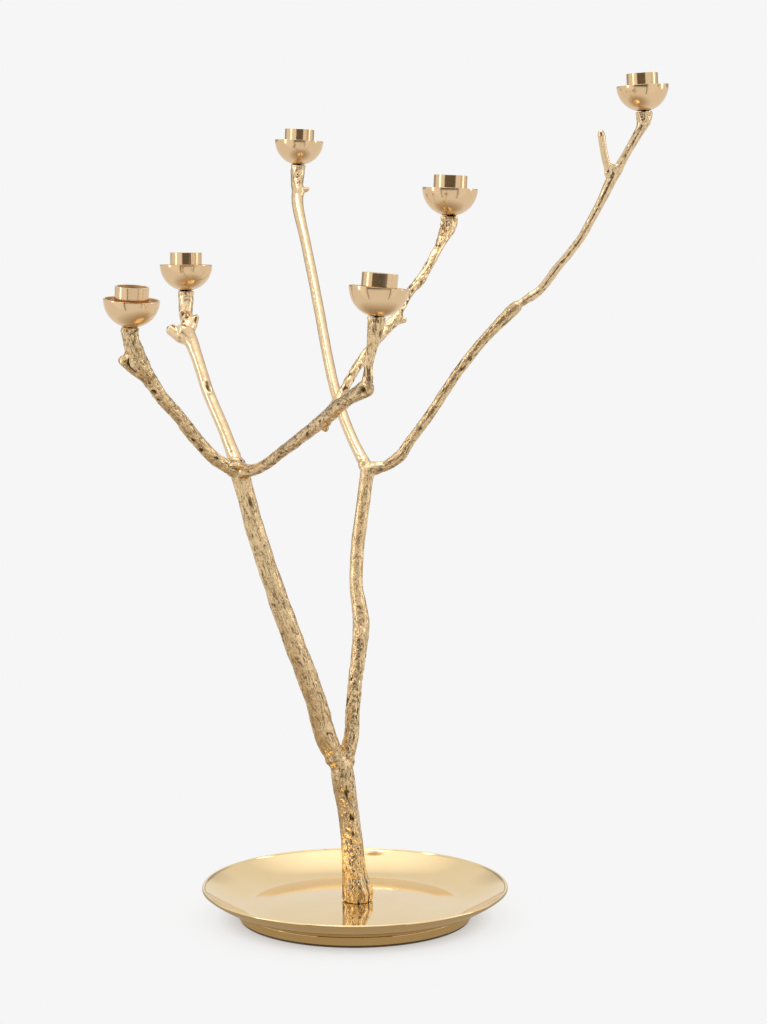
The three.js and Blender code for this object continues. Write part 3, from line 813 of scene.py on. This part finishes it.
def build_tree():
    """Skins the castings as one surface, carves the bark and cuts it into pieces."""
    twigs = []
    for name in TREE:
        twigs.append(Twig(name, list(twigs)))
    by_name = {twig.name: twig for twig in twigs}
    points, quads = tree_skin(twigs)
    edges = edges_of(quads)
    points = smoothed(points, edges, SKIN_ROUNDS)
    normals = normals_of(points, quads)
    degree = np.bincount(edges.ravel(), minlength=len(points)).astype(float)
    reach = np.full((len(twigs), len(points)), 1e3)
    outward = np.zeros((len(twigs), len(points), 3))
    nearby = []
    for k, twig in enumerate(twigs):
        low, high = twig.line.min(axis=0) - 0.03, twig.line.max(axis=0) + 0.03
        near = np.where(((points > low) & (points < high)).all(axis=1))[0]
        along, angle, out, radius, outward[k, near] = twig.coordinates(points[near])
        reach[k, near] = out - radius
        nearby.append((near, along, angle, radius))
    ranked = np.argsort(reach, axis=0)
    owner = ranked[0]
    index = np.arange(len(points))
    parting = 1 - (outward[ranked[0], index] * outward[ranked[1], index]).sum(axis=1)
    excess = np.exp(-(reach - reach.min(axis=0)) / FILLET)
    crowding = np.log(excess.sum(axis=0))
    fillet = FILLET * crowding * smoothstep(0.02, 0.40, parting)
    joint = np.clip(crowding / math.log(2), 0, 1)
    points = points + normals * fillet[:, None]
    from_fork = np.linalg.norm(points - by_name["left_stem"].line[0], axis=1)
    ease = np.maximum(smoothstep(0.10, 0.5, joint), 1 - smoothstep(FORK_NEAR, FORK_FAR, from_fork))
    for _ in range(JOINT_ROUNDS):
        points += 0.5 * ease[:, None] * (averaged(points, edges, degree) - points)
    normals = normals_of(points, quads)

    weight = np.exp(-(reach - reach.min(axis=0)) / SEAM_SOFTNESS)
    weight /= weight.sum(axis=0)
    height = np.zeros(len(points))
    # dark collects the painted shade of the bark's hollows and of the marks.
    dark = np.zeros(len(points))
    flow = np.zeros((len(points), 3))
    for k, (twig, (near, along, angle, radius)) in enumerate(zip(twigs, nearby)):
        rise, shade, flat = bark(twig, along, angle, radius, joint[near])
        height[near] += weight[k, near] * rise
        dark[near] += weight[k, near] * shade
        own = owner[near] == k
        flow[near[own]] = flat[own] / np.array([1.0, 1.0, 7.5]) + 50.0 * k
    for name, *mark in MARKS:
        rise, shade = marked(by_name[name], points, *mark)
        height += rise
        dark = np.maximum(dark, shade)
    calm = np.ones(len(points))
    for matrix in CUPS.values():
        local = (points - np.array(matrix.translation)) @ np.array(matrix.to_3x3())
        beside = np.hypot(local[:, 0], local[:, 1]) < TIP_ZONE
        calm[beside] = np.minimum(calm[beside], smoothstep(0.1 * MM, 1.8 * MM, -local[beside, 2]))
    dish_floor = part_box("trunk")[0].z
    calm = np.minimum(calm, smoothstep(0.1 * MM, 2 * MM, points[:, 2] - dish_floor))
    points = points + normals * (height * calm)[:, None]
    for matrix in CUPS.values():
        turn = np.array(matrix.to_3x3())
        local = (points - np.array(matrix.translation)) @ turn
        over = (np.hypot(local[:, 0], local[:, 1]) < TIP_ZONE) & (local[:, 2] > -TIP_CLEARANCE)
        over &= local[:, 2] < TIP_CUT
        local[over, 2] = -TIP_CLEARANCE
        points[over] = local[over] @ turn.T + np.array(matrix.translation)
    points[:, 2] = np.maximum(points[:, 2], dish_floor)
    for k, twig in enumerate(twigs):
        casting(twig.name, points, quads[owner[quads[:, 0]] == k], dark, flow)


def casting(name, points, quads, dark, flow):
    """One twig as a closed piece cut from the tree's skin, standing for its CAD node."""
    used, renumbered = np.unique(quads, return_inverse=True)
    smooth = name in SMOOTH_TWIGS
    faces = renumbered.reshape(-1, 4)
    made = mesh_object(f"{name}_casting", points[used], faces, SMOOTH if smooth else BARK, "stand")
    # Painted shade for the bark's hollows, which the material mixes into the base colour.
    groove_shade = made.data.attributes.new("groove_shade", "FLOAT", "POINT")
    groove_shade.data.foreach_set("value", dark[used].astype(np.float32))
    drift = made.data.attributes.new("flow", "FLOAT_VECTOR", "POINT")
    drift.data.foreach_set("vector", flow[used].astype(np.float32).ravel())
    close = bmesh.new()
    close.from_mesh(made.data)
    bmesh.ops.holes_fill(close, edges=[e for e in close.edges if e.is_boundary], sides=0)
    close.to_mesh(made.data)
    close.free()
    placed(made, Matrix.Identity(4))
    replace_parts(made, name)


# ------------------------------------------------------------------ base


def build_base():
    dish_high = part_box("base_dish")[1]
    ring_low, ring_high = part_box("foot_ring")
    felt_low, felt_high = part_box("base_felt")
    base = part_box("trunk")[0].z - GAP - DISH_CROWN
    rim_centre = dish_high.x - LIP_RADIUS
    lip_height = dish_high.z - LIP_RADIUS
    wall_end = rim_centre - LIP_RADIUS

    def top(radius):
        if radius <= DISH_FLOOR_RADIUS:
            return base + DISH_CROWN * (1 - (radius / DISH_FLOOR_RADIUS) ** 2)
        share = (radius - DISH_FLOOR_RADIUS) / (wall_end - DISH_FLOOR_RADIUS)
        bend = DISH_WALL_START * share + (1 - DISH_WALL_START) * share**2
        return base + (lip_height - base) * bend

    floor_width = DISH_FLOOR_RADIUS - BOLT_HOLE_RADIUS
    wall_width = wall_end - DISH_FLOOR_RADIUS
    radii = [BOLT_HOLE_RADIUS + floor_width * k / DISH_FLOOR_STEPS for k in range(DISH_FLOOR_STEPS + 1)]
    radii += [DISH_FLOOR_RADIUS + wall_width * k / DISH_WALL_STEPS for k in range(1, DISH_WALL_STEPS + 1)]
    upper = [Vector((radius, top(radius))) for radius in radii]
    for _ in range(12):  # eases the bend where the floor turns into the wall
        for k in range(DISH_FLOOR_STEPS - 2, DISH_FLOOR_STEPS + 6):
            upper[k].y = (upper[k - 1].y + 2 * upper[k].y + upper[k + 1].y) / 4
    lower = [Vector((point.x, point.y - DISH_WALL)) for point in upper[-2::-1]]
    lip = []
    for k in range(LIP_STEPS + 1):
        angle = math.radians(LIP_START - LIP_SWEEP * k / LIP_STEPS)
        place = Vector((rim_centre, lip_height)) + LIP_RADIUS * Vector((math.cos(angle), math.sin(angle)))
        lip.append(place)
    dish = turned("dish", upper + lip + lower, DISH_SIDES, DISH_BRASS, "stand")
    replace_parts(placed(dish, Matrix.Identity(4)), "base_dish")

    inner = ring_high.x - FOOT_WALL
    corners = [
        (inner, ring_low.z),
        (inner, ring_high.z),
        (ring_high.x, top(ring_high.x) - DISH_WALL - 0.12 * MM),
        (ring_high.x, ring_low.z, 1.0 * MM),
    ]
    ring = turned("foot", rounded(corners, 0.5 * MM), DISH_SIDES, DISH_BRASS, "stand")
    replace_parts(placed(ring, Matrix.Identity(4)), "foot_ring")

    corners = [
        (0.0, felt_high.z, 0),
        (felt_high.x, felt_high.z, 0.5 * MM),
        (felt_high.x, felt_low.z, 0.5 * MM),
        (0.0, felt_low.z, 0),
    ]
    pad = turned("felt_pad", rounded(corners, 0.4 * MM), DISH_SIDES, FELT, "stand")
    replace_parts(placed(pad, Matrix.Identity(4)), "base_felt")
    for name in ("base_bolt", "base_washer"):
        plain = frame["nodes"][name]
        plain.data.materials.clear()
        plain.data.materials.append(STEEL)


# ------------------------------------------------------------------ cups


def local_range(name, matrix):
    """Lowest and highest point of a CAD node along its cup's axis, and its widest radius."""
    points = np.array([v.co for v in frame["nodes"][name].data.vertices])
    local = (points - np.array(matrix.translation)) @ np.array(matrix.to_3x3())
    return local[:, 2].min(), local[:, 2].max(), np.hypot(local[:, 0], local[:, 1]).max()


def bowl_profile(rim, radius, seat_radius, floor, floor_radius):
    """Hemisphere cut flat at the seat, thin wall, flat rim with softened edges."""
    inner = radius - BOWL_WALL
    points = [Vector((BOWL_HOLE_RADIUS, 0)), Vector((BOWL_HOLE_RADIUS, floor))]
    points.append(Vector((floor_radius * 0.6, floor)))
    start = -math.acos(min(1, floor_radius / inner))
    for k in range(25):
        angle = start * (1 - k / 24)
        points.append(Vector((inner * math.cos(angle), rim + inner * math.sin(angle) - RIM_SETBACK)))
    points.append(Vector((inner + 0.02 * MM, rim - 0.04 * MM)))
    points.append(Vector((inner + 0.10 * MM, rim)))
    points.append(Vector((radius - 0.14 * MM, rim)))
    points.append(Vector((radius - 0.04 * MM, rim - 0.04 * MM)))
    end = -math.acos(seat_radius / radius)
    for k in range(BOWL_STEPS + 1):
        angle = end * k / BOWL_STEPS
        setback = RIM_SETBACK if k == 0 else 0
        points.append(Vector((radius * math.cos(angle), rim + radius * math.sin(angle) - setback)))
    points.append(Vector((seat_radius - 0.3 * MM, 0)))
    return points


def screw(name, matrix, low, high, body):
    """Countersunk screw with a hexagonal drive and a threaded shank."""
    floor = high - HEX_DEPTH
    profile = [Vector((0, floor)), Vector((HEX_RADIUS, floor)), Vector((HEX_RADIUS, high))]
    profile += [Vector((SCREW_HEAD_RADIUS - 0.15 * MM, high)), Vector((SCREW_HEAD_RADIUS, high - 0.15 * MM))]
    profile.append(Vector((SHANK_RADIUS, high - SCREW_HEAD_HEIGHT)))
    turns = int((high - SCREW_HEAD_HEIGHT - low) / THREAD_PITCH) - 1
    for k in range(turns):
        height = high - SCREW_HEAD_HEIGHT - (k + 0.5) * THREAD_PITCH
        profile.append(Vector((SHANK_RADIUS, height)))
        profile.append(Vector((SHANK_RADIUS - THREAD_DEPTH, height - THREAD_PITCH / 2)))
    profile.append(Vector((SHANK_RADIUS - 0.5 * MM, low)))
    profile.append(Vector((0, low)))
    made = turned(name, profile, SCREW_SIDES, STEEL, body)
    for vertex in made.data.vertices:
        radius = math.hypot(vertex.co.x, vertex.co.y)
        if vertex.co.z > floor - 0.1 * MM and abs(radius - HEX_RADIUS) < 0.05 * MM:
            angle = math.atan2(vertex.co.y, vertex.co.x)
            corner = (angle + math.pi / 6) % (math.pi / 3) - math.pi / 6
            stretch = math.cos(math.pi / 6) / math.cos(corner)
            vertex.co.x *= stretch
            vertex.co.y *= stretch
    made.data.set_sharp_from_angle(angle=math.radians(35))
    return placed(made, matrix)


def build_cup(body, matrix):
    number = body[-1]
    low, rim, radius = local_range(f"drip_bowl_{number}", matrix)
    socket_low, socket_high, socket_radius = local_range(f"candle_socket_{number}", matrix)
    seat_radius = math.sqrt(radius**2 - rim**2)
    profile = bowl_profile(rim, radius, seat_radius, socket_low - GAP, socket_radius + GAP)
    bowl = turned(f"bowl_{number}", profile, CUP_SIDES, POLISHED, body)
    bowl.data.materials.append(SATIN)
    for face in bowl.data.polygons:
        middle = math.hypot(math.hypot(face.center.x, face.center.y), face.center.z - rim)
        if middle < radius - 0.6 * BOWL_WALL and face.center.z < rim - 0.3 * MM:
            face.material_index = 1
    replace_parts(placed(bowl, matrix), f"drip_bowl_{number}")

    floor = socket_low + SOCKET_FLOOR
    corners = [
        (SOCKET_HOLE_RADIUS, socket_low),
        (SOCKET_HOLE_RADIUS, floor - COUNTERSINK_DEPTH, 0.05 * MM),
        (COUNTERSINK_RADIUS, floor, 0.05 * MM),
        (CANDLE_BORE_RADIUS, floor, 0.8 * MM),
        (CANDLE_BORE_RADIUS, socket_high, 0.16 * MM),
        (socket_radius, socket_high, 0.16 * MM),
        (socket_radius, socket_low, 0.3 * MM),
    ]
    profile = rounded(corners, 0.1 * MM)
    tube = turned(f"socket_{number}", profile, CUP_SIDES, POLISHED, body)
    tube.data.materials.append(SATIN)
    for face in tube.data.polygons:
        if math.hypot(face.center.x, face.center.y) < CANDLE_BORE_RADIUS + 0.05 * MM:
            face.material_index = 1
    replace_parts(placed(tube, matrix), f"candle_socket_{number}")

    screw_low, screw_high, _ = local_range(f"cup_screw_{number}", matrix)
    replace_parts(screw(f"screw_{number}", matrix, screw_low, screw_high, body), f"cup_screw_{number}")


# ------------------------------------------------------------------ studio


def build_floor():
    """Pale paper that melts into the even backdrop; in reflections a table lower in tone, dimmed near the
    base by painted shadow and tinted there by a painted warm glow from the brass.
    """
    mesh = bpy.data.meshes.new("studio_floor")
    half = 40.0
    corners = [(-half, -half, 0), (half, -half, 0), (half, half, 0), (-half, half, 0)]
    mesh.from_pydata(corners, [], [(0, 1, 2, 3)])
    floor = bpy.data.objects.new("studio_floor", mesh)
    bpy.context.scene.collection.objects.link(floor)
    material, tree, shader = new_material("studio_paper")
    place = node(tree, "ShaderNodeTexCoord").outputs["Object"]
    away = node(tree, "ShaderNodeVectorMath", {"operation": "LENGTH"}, Vector=place).outputs["Value"]
    shaded = remap(tree, away, 0.092, 0.112, 0.45, 0.84)
    faded = remap(tree, away, 0.112, 0.20, 0.0, 0.16)
    lit = math_node(tree, "ADD", shaded, faded)
    shader.inputs["Base Color"].default_value = colour(0.86, 0.86, 0.86)
    shader.inputs["Roughness"].default_value = 0.9
    shader.inputs["Specular IOR Level"].default_value = 0.1
    glow = node(tree, "ShaderNodeEmission", None, Color=colour(1, 1, 1), Strength=BACKDROP)
    blend = mix_shader(tree, lit, shader.outputs[0], glow.outputs[0])
    # In reflections the floor glows dimmer near the base as painted shadow, over a table lower in tone, and
    # warmer there as a painted glow bounced from the brass.
    painted_shadow_and_table_tone = remap(tree, away, 0.14, 0.62, 0.40, 0.84)
    across = node(tree, "ShaderNodeSeparateXYZ", None, Vector=place).outputs["Y"]
    table = remap(tree, across, -5.0, -3.2, 0.10, 1.0)
    fade = remap(tree, away, 0.14, 0.50, 0.0, 1.0)
    painted_brass_glow = mix_colour(tree, fade, colour(1.0, 0.80, 0.54), colour(1, 1, 1))
    strength = math_node(tree, "MULTIPLY", painted_shadow_and_table_tone, table)
    mirrored = node(tree, "ShaderNodeEmission", None, Color=painted_brass_glow, Strength=strength)
    seen = node(tree, "ShaderNodeLightPath").outputs["Is Camera Ray"]
    either = mix_shader(tree, seen, mirrored.outputs[0], blend)
    tree.links.new(either, tree.nodes["Material Output"].inputs["Surface"])
    mesh.materials.append(material)


def build_world():
    """A white tent, dark on the camera's side, with dimmer panels behind at both sides."""
    world = bpy.data.worlds.new("studio")
    bpy.context.scene.world = world
    world.use_nodes = True
    tree = world.node_tree
    tree.nodes.clear()
    output = tree.nodes.new("ShaderNodeOutputWorld")
    background = tree.nodes.new("ShaderNodeBackground")
    tree.links.new(background.outputs[0], output.inputs["Surface"])
    direction = node(tree, "ShaderNodeTexCoord").outputs["Generated"]
    split = node(tree, "ShaderNodeSeparateXYZ", None, Vector=direction)
    x, y, z = split.outputs
    azimuth = math_node(tree, "ARCTAN2", x, math_node(tree, "MULTIPLY", y, -1.0))
    away = math_node(tree, "ABSOLUTE", azimuth)
    front = remap(tree, away, math.radians(62), math.radians(70), 1.0, 0.0)
    below = remap(tree, z, 0.27, 0.36, 1.0, 0.0)
    opening = math_node(tree, "MULTIPLY", front, below)
    dark = math_node(tree, "MULTIPLY", opening, 0.82)
    rear = remap(tree, away, math.radians(118), math.radians(126), 0.0, 1.0)
    rear_end = remap(tree, away, math.radians(154), math.radians(163), 1.0, 0.0)
    dim = math_node(tree, "MULTIPLY", math_node(tree, "MULTIPLY", rear, rear_end), 0.55)
    dim = math_node(tree, "MULTIPLY", dim, remap(tree, z, 0.25, 0.55, 1.0, 0.0))
    top = remap(tree, z, 0.72, 1.0, 0.88, 1.5)
    bright = math_node(tree, "MULTIPLY", top, math_node(tree, "SUBTRACT", 1.0, dark))
    bright = math_node(tree, "MULTIPLY", bright, math_node(tree, "SUBTRACT", 1.0, dim))
    seen = node(tree, "ShaderNodeLightPath").outputs["Is Camera Ray"]
    shown = node(tree, "ShaderNodeMix", {"data_type": "FLOAT"})
    feed(tree, (shown.inputs[0], shown.inputs[2], shown.inputs[3]), (seen, bright, BACKDROP))
    tint = mix_colour(tree, opening, colour(1.0, 1.0, 1.0), colour(1.0, 0.82, 0.60))
    sight = mix_colour(tree, seen, tint, colour(1.0, 1.0, 1.0))
    tree.links.new(sight, background.inputs["Color"])
    tree.links.new(shown.outputs[0], background.inputs["Strength"])


def flat_panel(name, x_low, x_high, y, z_high, glow):
    """An upright card beside the camera's view, seen only in reflections."""
    mesh = bpy.data.meshes.new(name)
    corners = [(x_low, y, 0.001), (x_high, y, 0.001), (x_high, y, z_high), (x_low, y, z_high)]
    mesh.from_pydata(corners, [], [(0, 1, 2, 3)])
    card = bpy.data.objects.new(name, mesh)
    bpy.context.scene.collection.objects.link(card)
    material, tree, shader = new_material(name)
    shader.inputs["Base Color"].default_value = colour(0.02, 0.02, 0.02)
    shader.inputs["Roughness"].default_value = 1.0
    shader.inputs["Emission Color"].default_value = colour(1.0, 1.0, 1.0)
    shader.inputs["Emission Strength"].default_value = glow
    mesh.materials.append(material)
    card.visible_camera = False


def build_panels():
    """White flats either side of the opening that the camera looks through, with dark edges."""
    y = -0.64
    flat_panel("left_flat", -1.7, -0.43, y, 1.15, 0.9)
    flat_panel("left_edge", -0.43, -0.37, y, 1.15, 0.03)
    flat_panel("right_flat", 0.45, 1.7, y, 1.15, 0.86)
    flat_panel("right_edge", 0.39, 0.45, y, 1.15, 0.03)


def softbox(name, place, aim, width, height, glow):
    """A rectangular lamp whose face shines with the given strength."""
    data = bpy.data.lights.new(name, "AREA")
    data.shape = "RECTANGLE"
    data.size, data.size_y = width, height
    data.energy = glow * math.pi * width * height
    light = bpy.data.objects.new(name, data)
    light.location = place
    light.rotation_mode = "QUATERNION"
    light.rotation_quaternion = (Vector(aim) - Vector(place)).to_track_quat("-Z", "Y")
    light.visible_camera = False
    bpy.context.scene.collection.objects.link(light)


def build_lights():
    softbox("left_strip", (-1.6, -0.45, 1.0), (0, 0, 0.4), 0.22, 1.5, 3.2)
    softbox("right_strip", (1.7, 0.1, 1.1), (0, 0, 0.4), 0.20, 1.5, 2.6)
    softbox("top_box", (-0.3, -0.3, 2.3), (0, 0, 0.3), 0.9, 0.9, 2.2)


def build_camera():
    data = bpy.data.cameras.new("camera")
    data.sensor_width = 36
    data.lens = LENS_MM
    data.clip_start, data.clip_end = 0.05, 100
    camera = bpy.data.objects.new("camera", data)
    camera.location = EYE
    camera.rotation_euler = (math.pi / 2 - PITCH, 0, 0)
    bpy.context.scene.collection.objects.link(camera)
    bpy.context.scene.camera = camera


# ------------------------------------------------------------------ everything

build_camera()
build_world()
build_floor()
build_panels()
build_lights()
build_tree()
build_base()
for cup_body, cup_matrix in CUPS.items():
    build_cup(cup_body, cup_matrix)

bpy.context.scene.view_settings.view_transform = "Standard"
